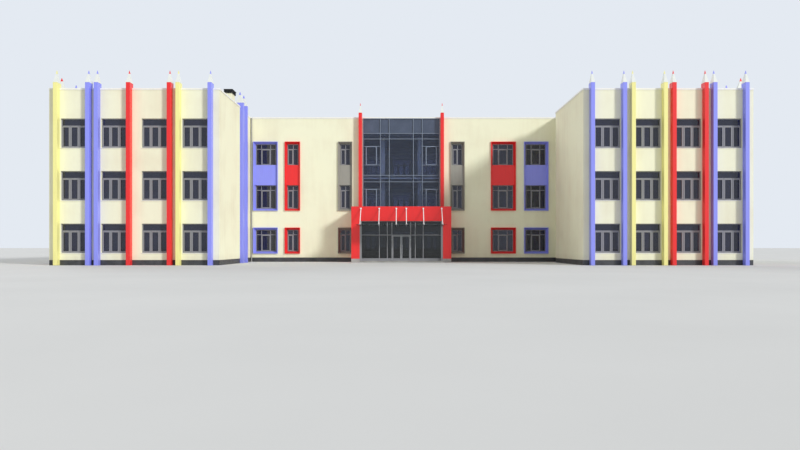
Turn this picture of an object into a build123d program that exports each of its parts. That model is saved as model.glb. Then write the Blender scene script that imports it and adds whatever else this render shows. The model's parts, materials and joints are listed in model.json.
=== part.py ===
from build123d import *
import os

os.makedirs("parts", exist_ok=True)

# A three-storey school in a U around an entrance court, as a half-size model.
# Every length is in millimetres of the model: 500 mm stand for one real metre.
# X runs across the front, Y from the front to the rear, Z up, from the middle of the footprint.

# Plan
width = 24100          # over both wings
depth = 11430          # wing fronts to rear wall
wing_width = 5825
court_depth = 5370     # wing fronts to the wall at the end of the court
wall = 250
left_step = 3035       # where the left wing's court wall steps back, from the wing front
left_setback = 100
right_step = 4225
right_setback = 250
joint = 10             # open joint between neighbouring slabs, plinths and copings

# Heights
storeys = 3
storey = 1800
slab = 150
ground_floor = 60
plinth_top = 180
coping = 30
parapet_top = 6050

# Windows in the cream walls
window_width = 900
window_height = 1010
first_sill = 415
glass = 14
glass_setback = 75     # outer face of the wall to the glass
bay_pitch = 1385
wing_bays = 4
wing_bay_inset = 827   # wing's court side to the middle of its first bay
side_bays = 7
centre_bays = 9        # in the rear wall, between the wings' bays

# Pencil pillars
pencil_width = 140
pencil_proud = 210     # front of a pencil to the wall behind it
pencil_back = 90       # how far it reaches back over the parapet
barrel_top = 6220
pencil_top = 6645
lead_height = 115
lead_point = 0.06      # share of the barrel's section left at the blunt point
pencil_reach = 545     # middle of a bay to the pencils beside it
court_pencil = 95      # edge of the curtain wall to the middle of the pencil beside it
step_pencil = 185      # from the step in the left court wall to the first pencil there
step_pencil_pitch = 650

# Coloured window surrounds in the court
surround_proud = 60
surround_depth = 210
surround_lip = 15
surround_splay = 90
panel_setback = 85     # front of the surround to its panel between two storeys
low_surround = (345, 1435)
high_surround = (2145, 5035)
panel_levels = (3215, 4060)
blue_surrounds = ((-5695, 1030), (5658, 1015))    # middle and width
red_surrounds = ((-4565, 640), (4280, 1040))
grey_span = 600
grey_gap = 40          # from the porch's sides

# Curtain wall over the entrance
curtain_half = 1615
curtain_foot = 2250
bar = 30
bar_depth = 75
bar_proud = 10
curtain_mullions = (505, 880)
curtain_rails = (3350, 3620, 5150, 5385)
column = 175
column_x = 790
column_setback = 500

# Entrance porch
porch_reach = 1185     # court wall to the front of the portal
porch_half = 2015
porch_wall = 150
porch_ceiling = 2100
porch_roof_top = 2225
portal_depth = 150
portal_leg = 340
portal_base = 150
portal_foot = 1670     # underside of the lintel
portal_top = 2255

# Entrance doors and screen
screen_setback = 100   # portal front to the screen
screen_depth = 40
transom_foot = 1090
screen_mullions = (565, 885)
screen_post = 80       # at either end, flush with the portal's front
door_half = 360
door_gap = 5
leaf = 30
stile = 42
kick_rail = 100        # of the leaves and of the screen beside them
pin_radius = 6
knuckle_radius = 10
knuckle = 40
knuckle_gap = 0.5
bore_gap = 0.3
hinge_stand = 15       # screen's front to the hinge axis
hinge_levels = (150, 560, 940)
pull_radius = 9
pull_length = 360
pull_height = 525
pull_stand = 36
pull_inset = 34

# Canopy hung on rods
canopy_half = 1775
canopy_reach = 1035
canopy_glass = 10
canopy_foot = 1490
arm = 12
arm_height = 40
rod_places = (200, 885, 1625)
rod_radius = 18
rod_head = 2170
rod_reach = 700
boss_radius = 34
boss = 30

# Roof vent and downpipe
vent_start = 1710      # from the wing front
vent_length = 500
vent_head = 6275
vent_cap = 125
vent_overhang = 30
pipe_radius = 28
pipe_gap = 22
clip_levels = (900, 2700, 4500, 5900)
clip = 24

half = width / 2
front = -depth / 2
rear = depth / 2
court = front + court_depth
inner = half - wing_width
grey_middle = porch_half + grey_gap + grey_span / 2
grey_surrounds = ((-grey_middle, grey_span), (grey_middle, grey_span))
court_left = inner + left_setback + wall
court_right = inner + right_setback + wall
wall_top = parapet_top - coping
levels = [ground_floor + storey * n for n in range(storeys + 1)]
sills = [first_sill + storey * n for n in range(storeys)]
wing_bay_list = [inner + wing_bay_inset + bay_pitch * n for n in range(wing_bays)]
side_bay_list = [bay_pitch * (n - (side_bays - 1) / 2) for n in range(side_bays)]
centre_bay_list = [bay_pitch * (n - (centre_bays - 1) / 2) for n in range(centre_bays)]

# Outer faces of the walls: each plane's X runs along its wall and its normal points out
front_face = Plane((0, front, 0), x_dir=(1, 0, 0), z_dir=(0, -1, 0))
court_face = Plane((0, court, 0), x_dir=(1, 0, 0), z_dir=(0, -1, 0))
rear_face = Plane((0, rear, 0), x_dir=(-1, 0, 0), z_dir=(0, 1, 0))
left_face = Plane((-half, 0, 0), x_dir=(0, -1, 0), z_dir=(-1, 0, 0))
right_face = Plane((half, 0, 0), x_dir=(0, 1, 0), z_dir=(1, 0, 0))
step_face = Plane((-inner - left_setback, 0, 0), x_dir=(0, 1, 0), z_dir=(1, 0, 0))


def save(piece, name):
    piece.part.label = name
    export_step(piece.part, f"parts/{name}.step")


def block(x, y, z, mode=Mode.ADD):
    """An upright block between two values on each axis, added to the piece being built"""
    with BuildSketch(Plane.XY.offset(z[0])) as base:
        with Locations(((x[0] + x[1]) / 2, (y[0] + y[1]) / 2)):
            Rectangle(x[1] - x[0], y[1] - y[0])
    extrude(base.sketch, amount=z[1] - z[0], mode=mode)


def panel(face, across, up, thickness, mode=Mode.ADD):
    """A plate behind a wall's face, between two values along it and two heights"""
    with BuildSketch(face) as outline:
        with Locations(((across[0] + across[1]) / 2, (up[0] + up[1]) / 2)):
            Rectangle(across[1] - across[0], up[1] - up[0])
    extrude(outline.sketch, amount=-thickness, mode=mode)


def window_spots(bays):
    return [(bay, sill + window_height / 2) for bay in bays for sill in sills]


def window_wall(face, across, bays):
    """A plain wall with a window cut through it at each bay and storey"""
    panel(face, across, (plinth_top, wall_top), wall)
    with BuildSketch(face) as windows:
        with Locations(*window_spots(bays)):
            Rectangle(window_width, window_height)
    extrude(windows.sketch, amount=-wall, mode=Mode.SUBTRACT)


def window_panes(face, bays):
    with BuildSketch(face.offset(-glass_setback)) as panes:
        with Locations(*window_spots(bays)):
            Rectangle(window_width, window_height)
    extrude(panes.sketch, amount=-glass)


def stepped_wall(side, gap, foot, height):
    """The court wall of a wing, which steps back from the court on its way to the rear"""
    step, setback = (left_step, left_setback) if side < 0 else (right_step, right_setback)
    start, end = front + wall + gap, court - gap
    face, back = inner, inner + wall
    with BuildSketch(Plane.XY.offset(foot)) as footprint:
        with BuildLine():
            Polyline(
                (side * face, start), (side * face, front + step),
                (side * (face + setback), front + step), (side * (face + setback), end),
                (side * (back + setback), end), (side * (back + setback), front + step - wall),
                (side * back, front + step - wall), (side * back, start), close=True)
        make_face()
    extrude(footprint.sketch, amount=height)


def wing_slab(side, foot, thickness):
    """A floor inside one wing, from its front wall to the rear wall"""
    step, setback = (left_step, left_setback) if side < 0 else (right_step, right_setback)
    back = inner + wall
    with BuildSketch(Plane.XY.offset(foot)) as outline:
        with BuildLine():
            Polyline(
                (side * (half - wall), front + wall), (side * back, front + wall),
                (side * back, front + step - wall), (side * (back + setback), front + step - wall),
                (side * (back + setback), rear - wall), (side * (half - wall), rear - wall), close=True)
        make_face()
    extrude(outline.sketch, amount=thickness)


def slab_piece(level, thickness, tongue):
    """One storey's floor: both wings, and the centre with a tongue out to the curtain wall if asked"""
    foot = level - thickness
    with BuildPart() as floor:
        for side in (-1, 1):
            wing_slab(side, foot, thickness)
        block((joint - court_left, court_right - joint), (court + wall, rear - wall), (foot, level))
        if tongue:
            block((-curtain_half, curtain_half), (court + tongue, court + wall), (foot, level))
    return floor


def wall_runs(gap, foot, height, entrance):
    """What lies under or on the walls, in straight lengths with an open joint at each corner"""
    up = (foot, foot + height)
    for side in (-1, 1):
        block(sorted((side * inner, side * half)), (front, front + wall), up)
        block(sorted((side * (half - wall), side * half)), (front + wall + gap, rear - wall - gap), up)
        stepped_wall(side, gap, foot, height)
    block((-half, half), (rear - wall, rear), up)
    if entrance:
        block((-court_left, -curtain_half), (court, court + wall), up)
        block((curtain_half, court_right), (court, court + wall), up)
    else:
        block((-court_left, court_right), (court, court + wall), up)


# Walls
with BuildPart() as front_walls:
    window_wall(front_face, (-half, -inner), [-bay for bay in wing_bay_list])
    window_wall(front_face, (inner, half), wing_bay_list)
save(front_walls, "front_walls")

with BuildPart() as outer_walls:
    for face in (left_face, right_face):
        window_wall(face, (front + wall, rear - wall), side_bay_list)
save(outer_walls, "outer_walls")

with BuildPart() as inner_walls:
    for side in (-1, 1):
        stepped_wall(side, 0, plinth_top, wall_top - plinth_top)
save(inner_walls, "inner_walls")

rear_bays = [-bay for bay in wing_bay_list] + centre_bay_list + wing_bay_list
with BuildPart() as rear_wall:
    window_wall(rear_face, (-half, half), rear_bays)
save(rear_wall, "rear_wall")

surrounds = blue_surrounds + red_surrounds + grey_surrounds
with BuildPart() as court_walls:
    panel(court_face, (-court_left, -curtain_half), (plinth_top, wall_top), wall)
    panel(court_face, (curtain_half, court_right), (plinth_top, wall_top), wall)
    for middle, span in surrounds:
        for up in (low_surround, high_surround):
            panel(court_face, (middle - span / 2, middle + span / 2), up, wall, Mode.SUBTRACT)
save(court_walls, "court_walls")

with BuildPart() as entrance_beams:
    block((-curtain_half, curtain_half), (court, court + wall), (portal_foot, curtain_foot))
    block((-curtain_half, curtain_half), (court + bar_depth - bar_proud, court + wall),
          (levels[-1], wall_top))
save(entrance_beams, "entrance_beams")

with BuildPart() as plinth:
    wall_runs(joint, 0, plinth_top, entrance=True)
save(plinth, "plinth")

with BuildPart() as parapet_coping:
    wall_runs(joint, wall_top, coping, entrance=False)
save(parapet_coping, "parapet_coping")

# Floors and roof
floor_names = ("ground_slab", "first_floor", "second_floor", "roof_slab")
floor_depths = (ground_floor, slab, slab, slab)
curtain_back = bar_depth - bar_proud
floor_tongues = (None, None, curtain_back, curtain_back)
for name, level, thickness, tongue in zip(floor_names, levels, floor_depths, floor_tongues):
    save(slab_piece(level, thickness, tongue), name)

with BuildPart() as hall_columns:
    for foot, head in zip(levels, levels[1:]):
        with BuildSketch(Plane.XY.offset(foot)):
            with Locations(*((x, court + wall + column_setback) for x in (-column_x, column_x))):
                Rectangle(column, column)
        extrude(amount=head - slab - foot)
save(hall_columns, "hall_columns")

# Glass in the cream walls
with BuildPart() as window_glass:
    window_panes(front_face, [-bay for bay in wing_bay_list] + wing_bay_list)
    window_panes(rear_face, rear_bays)
    for face in (left_face, right_face):
        window_panes(face, side_bay_list)
save(window_glass, "window_glass")


# Coloured surrounds of the court windows, splayed in towards the glass
def surround(middle, span, up):
    front_plane = court_face.offset(surround_proud)
    splay_depth = surround_depth - glass
    height, level = up[1] - up[0], (up[0] + up[1]) / 2
    panel(front_plane, (middle - span / 2, middle + span / 2), up, surround_depth)
    with BuildSketch(front_plane) as mouth:
        with Locations((middle, level)):
            Rectangle(span - 2 * surround_lip, height - 2 * surround_lip)
    with BuildSketch(front_plane.offset(-splay_depth)) as throat:
        with Locations((middle, level)):
            Rectangle(span - 2 * surround_splay, height - 2 * surround_splay)
    loft([mouth.sketch.face(), throat.sketch.face()], mode=Mode.SUBTRACT)
    extrude(throat.sketch, amount=-glass, mode=Mode.SUBTRACT)


def surround_piece(places):
    with BuildPart() as frames:
        for middle, span in places:
            surround(middle, span, low_surround)
            surround(middle, span, high_surround)
            panel(court_face.offset(surround_proud - panel_setback),
                  (middle - span / 2, middle + span / 2), panel_levels, surround_depth - panel_setback)
    return frames


for name, places in zip(("blue", "red", "grey"), (blue_surrounds, red_surrounds, grey_surrounds)):
    save(surround_piece(places), f"surrounds_{name}")

with BuildPart() as court_glass:
    pane_face = court_face.offset(surround_proud - surround_depth + glass)
    for middle, span in surrounds:
        across = (middle - span / 2 + surround_splay, middle + span / 2 - surround_splay)
        for foot, head in (
                (low_surround[0] + surround_splay, low_surround[1] - surround_splay),
                (high_surround[0] + surround_splay, panel_levels[0]),
                (panel_levels[1], high_surround[1] - surround_splay)):
            panel(pane_face, across, (foot, head), glass)
save(court_glass, "court_glass")


# Glazed screens: bars on given lines with panes between them
def bar_edges(low, high, middles):
    """Pairs of edges of the gaps between the bars, the end bars included"""
    stops = [low + bar] + [edge for middle in middles for edge in (middle - bar / 2, middle + bar / 2)]
    stops.append(high - bar)
    return list(zip(stops[::2], stops[1::2]))


def screen_frame(face, across, up, gaps_across, gaps_up, thickness):
    panel(face, across, up, thickness)
    for gap in gaps_across:
        for rise in gaps_up:
            panel(face, gap, rise, thickness, Mode.SUBTRACT)


mullions = [-line for line in reversed(curtain_mullions)] + list(curtain_mullions)
curtain_columns = bar_edges(-curtain_half, curtain_half, mullions)
curtain_rows = bar_edges(curtain_foot, wall_top, curtain_rails)
bar_plane = court_face.offset(bar_proud)
pane_plane = court_face.offset(bar_proud - (bar_depth - glass) / 2)

with BuildPart() as curtain_frame:
    screen_frame(bar_plane, (-curtain_half, curtain_half), (curtain_foot, wall_top),
                 curtain_columns, curtain_rows, bar_depth)
save(curtain_frame, "curtain_frame")

with BuildPart() as curtain_glass:
    for gap in curtain_columns:
        for rise in curtain_rows[:-1]:
            panel(pane_plane, gap, rise, glass)
save(curtain_glass, "curtain_glass")

with BuildPart() as curtain_spandrels:
    for gap in curtain_columns:
        panel(pane_plane, gap, curtain_rows[-1], glass)
save(curtain_spandrels, "curtain_spandrels")

# Porch
portal_front = court - porch_reach
portal_back = portal_front + portal_depth
leg_inner = porch_half - portal_leg

with BuildPart() as porch_walls:
    for side in (-1, 1):
        block(sorted((side * (porch_half - porch_wall), side * porch_half)), (portal_back, court),
              (0, porch_ceiling))
save(porch_walls, "porch_walls")

with BuildPart() as porch_roof:
    block((-porch_half, porch_half), (portal_back, court), (porch_ceiling, porch_roof_top))
save(porch_roof, "porch_roof")

with BuildPart() as porch_floor:
    block((-leg_inner, leg_inner), (portal_front, portal_back), (0, ground_floor))
    block((porch_wall - porch_half, porch_half - porch_wall), (portal_back, court), (0, ground_floor))
    block((-curtain_half, curtain_half), (court, court + wall), (0, ground_floor))
save(porch_floor, "porch_floor")

with BuildPart() as portal_lintel:
    block((-porch_half, porch_half), (portal_front, portal_back), (portal_foot, portal_top))
save(portal_lintel, "portal_lintel")

with BuildPart() as portal_legs:
    for side in (-1, 1):
        block(sorted((side * leg_inner, side * porch_half)), (portal_front, portal_back),
              (portal_base, portal_foot))
save(portal_legs, "portal_legs")

with BuildPart() as portal_bases:
    for side in (-1, 1):
        block(sorted((side * leg_inner, side * porch_half)), (portal_front, portal_back), (0, portal_base))
save(portal_bases, "portal_bases")

# Entrance screen beside and over the doors
screen_face = Plane((0, portal_front + screen_setback, 0), x_dir=(1, 0, 0), z_dir=(0, -1, 0))
jamb = door_half + door_gap
post_inner = leg_inner - screen_post
side_gaps = bar_edges(jamb, post_inner + bar, screen_mullions)
over_door = (transom_foot + bar, portal_foot - bar)
screen_rows = [(ground_floor + door_gap + kick_rail, transom_foot), over_door]
screen_pane = screen_face.offset(-(screen_depth - glass) / 2)

with BuildPart() as entrance_sidelights:
    for side in (-1, 1):
        gaps = [sorted((side * start, side * end)) for start, end in side_gaps]
        screen_frame(screen_face, sorted((side * jamb, side * leg_inner)), (ground_floor, portal_foot),
                     gaps, screen_rows, screen_depth)
        panel(screen_face.offset(screen_setback), sorted((side * post_inner, side * leg_inner)),
              (ground_floor, portal_foot), screen_setback)
save(entrance_sidelights, "entrance_sidelights")

with BuildPart() as entrance_transom:
    screen_frame(screen_face, (-jamb, jamb), (transom_foot, portal_foot), [(-jamb, jamb)], [over_door],
                 screen_depth)
save(entrance_transom, "entrance_transom")

with BuildPart() as entrance_glass:
    panel(screen_pane, (-jamb, jamb), over_door, glass)
    for side in (-1, 1):
        for start, end in side_gaps:
            for rise in screen_rows:
                panel(screen_pane, sorted((side * start, side * end)), rise, glass)
save(entrance_glass, "entrance_glass")

# Doors: two glazed leaves on pinned hinges in front of the screen's jambs, opening outwards
leaf_foot = ground_floor + door_gap
leaf_head = transom_foot - door_gap
hinge_x = door_half + door_gap / 2
hinge_y = portal_front + screen_setback - hinge_stand


def hinge_circle(side, radius, foot, head, mode=Mode.ADD):
    with BuildSketch(Plane.XY.offset(foot)) as ring:
        with Locations((side * hinge_x, hinge_y)):
            Circle(radius)
    extrude(ring.sketch, amount=head - foot, mode=mode)


def door_leaf(side):
    across = sorted((side * door_gap / 2, side * door_half))
    opening = (across[0] + stile, across[1] - stile)
    with BuildPart() as frame:
        panel(screen_face, across, (leaf_foot, leaf_head), leaf)
        panel(screen_face, opening, (leaf_foot + kick_rail, leaf_head - stile), leaf, Mode.SUBTRACT)
        for level in hinge_levels:
            up = (level, level + knuckle)
            block(sorted((side * hinge_x, side * (door_half - stile))),
                  (hinge_y - knuckle_radius, portal_front + screen_setback), up)
            hinge_circle(side, knuckle_radius, *up)
            hinge_circle(side, pin_radius + bore_gap, *up, Mode.SUBTRACT)
    return frame


def door_pane(side):
    across = sorted((side * (door_gap / 2 + stile), side * (door_half - stile)))
    with BuildPart() as pane:
        panel(screen_face.offset(-(leaf - glass) / 2), across, (leaf_foot + kick_rail, leaf_head - stile),
              glass)
    return pane


def door_pull(side):
    """An upright bar on two posts, near the edge where the leaves meet"""
    place = side * (door_gap / 2 + pull_inset)
    bar_y = portal_front + screen_setback - pull_stand
    with BuildPart() as pull:
        with BuildSketch(Plane.XY.offset(pull_height - pull_length / 2)):
            with Locations((place, bar_y)):
                Circle(pull_radius)
        extrude(amount=pull_length)
        with BuildSketch(screen_face):
            with Locations((place, pull_height - pull_length / 3), (place, pull_height + pull_length / 3)):
                Circle(pull_radius * 0.7)
        extrude(amount=pull_stand)
    return pull


for side, name in ((-1, "left"), (1, "right")):
    save(door_leaf(side), f"door_leaf_{name}")
    save(door_pane(side), f"door_glass_{name}")
    save(door_pull(side), f"door_pull_{name}")

with BuildPart() as door_hinges:
    for side in (-1, 1):
        for level in hinge_levels:
            foot = level - knuckle_gap - knuckle
            block(sorted((side * hinge_x, side * (jamb + bar - door_gap))),
                  (hinge_y - knuckle_radius, portal_front + screen_setback), (foot, foot + knuckle))
            hinge_circle(side, knuckle_radius, foot, foot + knuckle)
            hinge_circle(side, pin_radius, foot, level + knuckle + door_gap)
save(door_hinges, "door_hinges")

# Canopy: a glass sheet on steel arms, hung from the lintel on rods
canopy_top = canopy_foot + canopy_glass
rod_lines = [side * place for place in rod_places for side in (-1, 1)]

with BuildPart() as canopy_sheet:
    block((-canopy_half, canopy_half), (portal_front - canopy_reach, portal_front), (canopy_foot, canopy_top))
save(canopy_sheet, "canopy_glass")

with BuildPart() as canopy_arms:
    for line in rod_lines:
        with BuildSketch(Plane((line, portal_front, 0), x_dir=(0, 1, 0), z_dir=(1, 0, 0))) as fin:
            with BuildLine():
                Polyline(
                    (0, canopy_foot), (0, canopy_foot - arm_height), (-canopy_reach, canopy_foot - arm),
                    (-canopy_reach, canopy_foot), close=True)
            make_face()
        extrude(fin.sketch, amount=arm / 2, both=True)
save(canopy_arms, "canopy_arms")

with BuildPart() as canopy_rods:
    for line in rod_lines:
        low = Vector(line, portal_front - rod_reach, canopy_top + rod_radius)
        high = Vector(line, portal_front - rod_radius, rod_head)
        with BuildSketch(Plane(low, x_dir=(1, 0, 0), z_dir=high - low)) as section:
            Circle(rod_radius)
        extrude(section.sketch, amount=(high - low).length)
        with BuildSketch(Plane.XY.offset(canopy_top)) as lower_boss:
            with Locations((line, portal_front - rod_reach)):
                Circle(boss_radius)
        extrude(lower_boss.sketch, amount=boss)
        with BuildSketch(Plane((0, portal_front, 0), x_dir=(1, 0, 0), z_dir=(0, -1, 0))) as upper_boss:
            with Locations((line, rod_head)):
                Circle(boss_radius)
        extrude(upper_boss.sketch, amount=boss)
save(canopy_rods, "canopy_rods")

# Pencil pillars: deep, narrow barrels that step back over the parapet, pyramid tips and blunt leads
left_wing_colours = ("blue", "yellow", "red", None, "red", "blue", "blue", "yellow")
right_wing_colours = ("blue", "blue", "yellow", "yellow", "red", "red", "blue", "blue")
side_colours = ("red", "blue", "yellow", "red")
wing_pencils = [bay + reach for bay in wing_bay_list for reach in (-pencil_reach, pencil_reach)]
side_pencils = [bay + reach for bay in (side_bay_list[0], side_bay_list[-1])
                for reach in (-pencil_reach, pencil_reach)]

pencils = []           # colour, wall, place along it, foot
for side, colours, side_wall in ((-1, left_wing_colours, left_face), (1, right_wing_colours, right_face)):
    for place, colour in zip(wing_pencils, colours):
        pencils.append((colour, front_face, side * place, 0))
        pencils.append((colour, rear_face, -side * place, 0))
    for place, colour in zip(side_pencils, side_colours):
        pencils.append((colour, side_wall, side * place, 0))
    pencils.append(("red", court_face, side * (curtain_half + court_pencil), porch_roof_top))
for n in range(2):
    pencils.append(("blue", step_face, front + left_step + step_pencil + step_pencil_pitch * n, 0))

lead_share = lead_height / (pencil_top - barrel_top)
lead_foot = pencil_top - lead_height


def barrel(face, place, foot):
    """A pencil's side view, drawn square to its wall, given the pencil's width"""
    middle = Plane(face.from_local_coords(Vector(place, 0)), x_dir=face.z_dir, z_dir=-face.x_dir)
    with BuildSketch(middle) as profile:
        with BuildLine():
            Polyline(
                (0, foot), (pencil_proud, foot), (pencil_proud, barrel_top), (-pencil_back, barrel_top),
                (-pencil_back, parapet_top), (0, parapet_top), close=True)
        make_face()
    extrude(profile.sketch, amount=pencil_width / 2, both=True)


def section(face, place, level, share):
    """A pencil's cross-section at one height, as a share of the barrel's"""
    spot = face.from_local_coords(Vector(place, level, (pencil_proud - pencil_back) / 2))
    with BuildSketch(Plane(spot, x_dir=face.x_dir, z_dir=(0, 0, 1))) as outline:
        Rectangle(pencil_width * share, (pencil_proud + pencil_back) * share)
    return outline.sketch.face()


for colour in ("blue", "red", "yellow"):
    places = [(face, place, foot) for name, face, place, foot in pencils if name == colour]
    with BuildPart() as barrels:
        for face, place, foot in places:
            barrel(face, place, foot)
    save(barrels, f"pencil_barrels_{colour}")
    with BuildPart() as leads:
        for face, place, _ in places:
            loft([section(face, place, lead_foot, lead_share), section(face, place, pencil_top, lead_point)])
    save(leads, f"pencil_leads_{colour}")

with BuildPart() as pencil_tips:
    for colour, face, place, _ in pencils:
        if colour:
            loft([section(face, place, barrel_top, 1), section(face, place, lead_foot, lead_share)])
save(pencil_tips, "pencil_tips")

# Vent stack on the left wing's court parapet, and the downpipe in the corner of the court
vent_x = (-inner - wall + joint, -inner)
vent_y = (front + vent_start, front + vent_start + vent_length)
with BuildPart() as vent_stack:
    block(vent_x, vent_y, (parapet_top, vent_head))
save(vent_stack, "vent_stack")

with BuildPart() as vent_hood:
    block((vent_x[0] - vent_overhang, vent_x[1] + vent_overhang),
          (vent_y[0] - vent_overhang, vent_y[1] + vent_overhang), (vent_head, vent_head + vent_cap))
save(vent_hood, "vent_hood")

pipe_x = -inner - left_setback + pipe_radius + pipe_gap
pipe_y = court - pipe_radius - pipe_gap
with BuildPart() as downpipe:
    with BuildSketch():
        with Locations((pipe_x, pipe_y)):
            Circle(pipe_radius)
    extrude(amount=wall_top)
    for level in clip_levels:
        block((pipe_x - clip / 2, pipe_x + clip / 2), (pipe_y, court), (level, level + clip))
save(downpipe, "downpipe")
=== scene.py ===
import json
import math

import bmesh
import bpy
from mathutils import Matrix, Vector


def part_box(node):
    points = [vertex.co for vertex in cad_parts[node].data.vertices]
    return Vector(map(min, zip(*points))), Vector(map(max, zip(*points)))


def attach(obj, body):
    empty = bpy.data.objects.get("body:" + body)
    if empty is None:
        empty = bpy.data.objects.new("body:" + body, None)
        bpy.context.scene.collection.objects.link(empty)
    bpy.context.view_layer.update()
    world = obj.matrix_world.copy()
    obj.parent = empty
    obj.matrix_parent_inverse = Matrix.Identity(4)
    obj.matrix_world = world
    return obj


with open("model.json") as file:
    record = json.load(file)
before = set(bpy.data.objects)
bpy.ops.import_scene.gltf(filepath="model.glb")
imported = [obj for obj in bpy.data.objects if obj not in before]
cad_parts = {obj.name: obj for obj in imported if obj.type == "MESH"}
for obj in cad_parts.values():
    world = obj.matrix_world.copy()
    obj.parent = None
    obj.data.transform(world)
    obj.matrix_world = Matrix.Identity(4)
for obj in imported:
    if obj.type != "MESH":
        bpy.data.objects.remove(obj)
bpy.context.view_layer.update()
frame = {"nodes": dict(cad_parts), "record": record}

scene = bpy.context.scene
nodes = frame["nodes"]
modelScale = 0.5  # half of the real building


def real(millimetres):
    return millimetres / 1000 * modelScale  # a real size in mm, in metres of the model


def perMetre(millimetres):
    return 1 / real(millimetres)  # texture scale that makes one feature this big


def linear(colour):
    # sRGB hex to linear RGBA
    parts = [int(colour[n:n + 2], 16) / 255 for n in (0, 2, 4)]
    return tuple(c / 12.92 if c <= 0.04045 else ((c + 0.055) / 1.055) ** 2.4 for c in parts) + (1.0,)


def addNode(tree, kind, settings, links=None):
    # a shader node with its settings, and links from other nodes' outputs
    node = tree.nodes.new("ShaderNode" + kind)
    for key, value in settings.items():
        if key == "stops":
            ramp = node.color_ramp.elements
            while len(ramp) < len(value):
                ramp.new(0.5)
            for element, (position, colour) in zip(ramp, value):
                element.position, element.color = position, colour
        elif isinstance(key, str) and hasattr(node, key):
            setattr(node, key, value)
        else:
            node.inputs[key].default_value = value
    for key, source in (links or {}).items():
        tree.links.new(source, node.inputs[key])
    return node


# Camera: where the photographer stood, level, a little above the ground
cameraSettings = {
    "place": (0.0, -29.465, 0.65),
    "lens": 31.23,          # mm on a 36 mm sensor
    "shiftUp": 0.0266,      # the horizon lies a little under the middle
    "shiftRight": -0.0016,
    "farEnd": 2000,         # metres
}
cameraData = bpy.data.cameras.new("photoCamera")
camera = bpy.data.objects.new("photoCamera", cameraData)
scene.collection.objects.link(camera)
camera.location = cameraSettings["place"]
camera.rotation_euler = (math.radians(90), 0, 0)
cameraData.lens = cameraSettings["lens"]
cameraData.shift_x = cameraSettings["shiftRight"]
cameraData.shift_y = cameraSettings["shiftUp"]
cameraData.clip_end = cameraSettings["farEnd"]
scene.camera = camera
scene.view_settings.view_transform = "Standard"

# Studio: a pale sky all round, a broad key light from the right and a weak fill from behind
studio = {
    "skyColour": "F2F4F8",
    "skyLight": 0.56,
    "backdrop": "E4EAF2",
    "floorColour": "D9DAD8",
    "floorPatches": "DDDEDC",
    "floorPatchScale": 0.4,
    "floorRadius": 260,
    "floorSides": 96,
    "keyTowards": (1.3, -1.15, 0.84),
    "keyStrength": 2.12,
    "keySpread": 9,         # degrees
    "fillTowards": (-0.9, 1.0, 0.8),
    "fillStrength": 0.75,
    "fillSpread": 35,
}
world = bpy.data.worlds.new("studioSky")
scene.world = world
world.use_nodes = True
sky = world.node_tree
sky.nodes.clear()
rays = addNode(sky, "LightPath", {})
seenRays = addNode(sky, "Math", {"operation": "MAXIMUM"},
                   {0: rays.outputs["Is Camera Ray"], 1: rays.outputs["Is Glossy Ray"]})
shownRays = addNode(sky, "Math", {"operation": "MAXIMUM"},
                    {0: seenRays.outputs[0], 1: rays.outputs["Is Transmission Ray"]})
lit = addNode(sky, "Background", {"Color": linear(studio["skyColour"]), "Strength": studio["skyLight"]})
seen = addNode(sky, "Background", {"Color": linear(studio["backdrop"]), "Strength": 1.0})
skyMix = addNode(sky, "MixShader", {}, {0: shownRays.outputs[0], 1: lit.outputs[0], 2: seen.outputs[0]})
addNode(sky, "OutputWorld", {}, {0: skyMix.outputs[0]})

for name, towards, strength, spread in (
        ("keyLight", studio["keyTowards"], studio["keyStrength"], studio["keySpread"]),
        ("fillLight", studio["fillTowards"], studio["fillStrength"], studio["fillSpread"])):
    lampData = bpy.data.lights.new(name, "SUN")
    lampData.energy, lampData.angle = strength, math.radians(spread)
    lamp = bpy.data.objects.new(name, lampData)
    lamp.rotation_mode = "QUATERNION"
    lamp.rotation_quaternion = Vector(towards).to_track_quat("Z", "Y")
    scene.collection.objects.link(lamp)
print("camera and studio are up")


def newFinish(name, shaderSettings):
    # a material with one Principled shader; returns the material, its tree and the shader
    made = bpy.data.materials.new(name)
    made.use_nodes = True
    tree = made.node_tree
    tree.nodes.clear()
    shader = addNode(tree, "BsdfPrincipled", shaderSettings)
    addNode(tree, "OutputMaterial", {}, {"Surface": shader.outputs[0]})
    return made, tree, shader


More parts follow.
